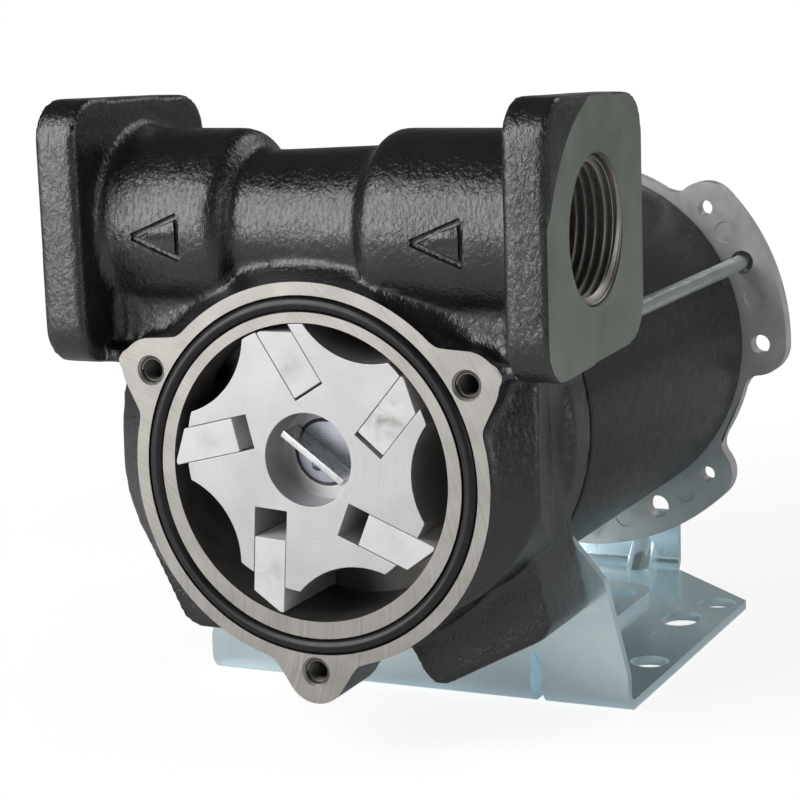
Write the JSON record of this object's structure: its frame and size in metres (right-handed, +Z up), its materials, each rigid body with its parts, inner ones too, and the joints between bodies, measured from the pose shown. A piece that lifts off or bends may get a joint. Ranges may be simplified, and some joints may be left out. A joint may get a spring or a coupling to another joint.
{
  "type": "rotary vane fuel pump",
  "caption": "Electric vane pump for fuel transfer: black cast body with two threaded side ports, open front showing rotor and vanes, motor tube and bent foot.",
  "frame": {"origin": "middle of the four foot bolts, on the face the foot stands on", "axes": "+X towards the inlet port, +Y along the motor shaft away from the open chamber, +Z up"},
  "size_m": [0.1272, 0.2056, 0.1536],
  "materials": {
    "cast_black": "black cast-iron paint over an orange-peel casting skin, bare where machined",
    "seal_rubber": "smooth black nitrile rubber",
    "sintered_steel": "sintered steel with fine turned marks on its face",
    "vane_plastic": "white acetal, faintly soiled by fuel",
    "bright_steel": "ground steel",
    "bearing_steel": "polished bearing steel",
    "spring_steel": "spring steel",
    "gasket_fibre": "grey fibre sheet",
    "tube_black": "satin black paint",
    "magnet_ferrite": "ground ferrite",
    "core_steel": "stacked laminations",
    "copper": "copper",
    "brush_laminate": "brown laminate",
    "brass": "pressed brass",
    "carbon": "graphite",
    "cast_aluminium": "die-cast aluminium, matt",
    "zinc_steel": "bright zinc plating",
    "zinc_sheet": "bluish bright zinc plating on sheet",
    "poppet_plastic": "natural acetal"
  },
  "bodies": {
    "pump": {"housing": "cast_black", "cover_seal": "seal_rubber", "shaft_seal_case": "bright_steel", "shaft_seal_lip": "seal_rubber", "front_bearing_outer": "bearing_steel", "front_bearing_clip": "spring_steel", "rear_bearing_outer": "bearing_steel", "tube_gasket": "gasket_fibre", "motor_tube": "tube_black", "magnet_upper": "magnet_ferrite", "magnet_lower": "magnet_ferrite", "brush_plate": "brush_laminate", "brush_plate_screws": "zinc_steel", "brush_box_left": "brass", "brush_box_right": "brass", "brush_spring_left": "spring_steel", "brush_spring_right": "spring_steel", "rear_cap": "cast_aluminium", "lead_grommet": "seal_rubber", "tie_rod_left": "zinc_steel", "tie_rod_right": "zinc_steel", "tie_rod_nuts": "zinc_steel", "tie_rod_washers": "zinc_steel", "foot_bracket": "zinc_sheet", "foot_screw_left": "zinc_steel", "foot_screw_right": "zinc_steel", "foot_washers": "zinc_steel", "rear_foot_screw": "zinc_steel", "rear_foot_nut": "zinc_steel", "rear_foot_washer": "zinc_steel", "bypass_spring": "spring_steel", "bypass_retainer": "brass"},
    "rotor": {"rotor": "sintered_steel", "drive_key": "bright_steel", "motor_shaft": "bright_steel", "armature_core": "core_steel", "armature_windings": "copper", "commutator": "copper", "front_bearing_inner": "bearing_steel", "rear_bearing_inner": "bearing_steel"},
    "front_balls": {"front_bearing_balls": "bearing_steel"},
    "rear_balls": {"rear_bearing_balls": "bearing_steel"},
    "brush_left": {"brush_left": "carbon"},
    "brush_right": {"brush_right": "carbon"},
    "bypass_poppet": {"bypass_poppet": "poppet_plastic"},
    "vane_1": {"vane_1": "vane_plastic"},
    "vane_2": {"vane_2": "vane_plastic"},
    "vane_3": {"vane_3": "vane_plastic"},
    "vane_4": {"vane_4": "vane_plastic"},
    "vane_5": {"vane_5": "vane_plastic"}
  },
  "joints": [
    {"name": "rotor_spin", "type": "hinge", "parent": "pump", "child": "rotor", "pos_m": [0, -0.1185, 0.0712], "axis": [0, 1, 0], "range_deg": [-18, 18]},
    {"name": "vane_1_slide", "type": "slide", "parent": "rotor", "child": "vane_1", "axis": [-0.5284, 0, 0.849], "range_m": [-0.000311, 0.000311]},
    {"name": "vane_2_slide", "type": "slide", "parent": "rotor", "child": "vane_2", "axis": [0.6441, 0, 0.7649], "range_m": [-0.0006, 0.0006]},
    {"name": "vane_3_slide", "type": "slide", "parent": "rotor", "child": "vane_3", "axis": [0.9265, 0, -0.3762], "range_m": [-0.00093, 0.00093]},
    {"name": "vane_4_slide", "type": "slide", "parent": "rotor", "child": "vane_4", "axis": [-0.0715, 0, -0.9974], "range_m": [-0.000282, 0.000282]},
    {"name": "vane_5_slide", "type": "slide", "parent": "rotor", "child": "vane_5", "axis": [-0.9707, 0, -0.2402], "range_m": [-0.00108, 0.00108]},
    {"name": "front_balls_orbit", "type": "hinge", "parent": "pump", "child": "front_balls", "pos_m": [0, -0.1185, 0.0712], "axis": [0, 1, 0], "range_deg": [-7.03, 7.03]},
    {"name": "rear_balls_orbit", "type": "hinge", "parent": "pump", "child": "rear_balls", "pos_m": [0, -0.1185, 0.0712], "axis": [0, 1, 0], "range_deg": [-7.05, 7.05]},
    {"name": "brush_left_slide", "type": "slide", "parent": "pump", "child": "brush_left", "axis": [-1, 0, 0], "range_m": [0, 0.003], "stiffness_N_per_m": 250, "springref_m": -0.012, "deforming": ["brush_spring_left"]},
    {"name": "brush_right_slide", "type": "slide", "parent": "pump", "child": "brush_right", "axis": [1, 0, 0], "range_m": [0, 0.003], "stiffness_N_per_m": 250, "springref_m": -0.012, "deforming": ["brush_spring_right"]},
    {"name": "bypass_lift", "type": "slide", "parent": "pump", "child": "bypass_poppet", "axis": [1, 0, 0], "range_m": [0, 0.004], "stiffness_N_per_m": 1500, "springref_m": -0.008, "deforming": ["bypass_spring"]}
  ],
  "couplings": [
    {"joint": "vane_1_slide", "follows": "rotor_spin", "m_per_rad": -0.0009},
    {"joint": "vane_2_slide", "follows": "rotor_spin", "m_per_rad": 0.0018},
    {"joint": "vane_3_slide", "follows": "rotor_spin", "m_per_rad": 0.0028},
    {"joint": "vane_4_slide", "follows": "rotor_spin", "m_per_rad": -0.00081},
    {"joint": "vane_5_slide", "follows": "rotor_spin", "m_per_rad": -0.00328},
    {"joint": "front_balls_orbit", "follows": "rotor_spin", "ratio": 0.379},
    {"joint": "rear_balls_orbit", "follows": "rotor_spin", "ratio": 0.38}
  ]
}
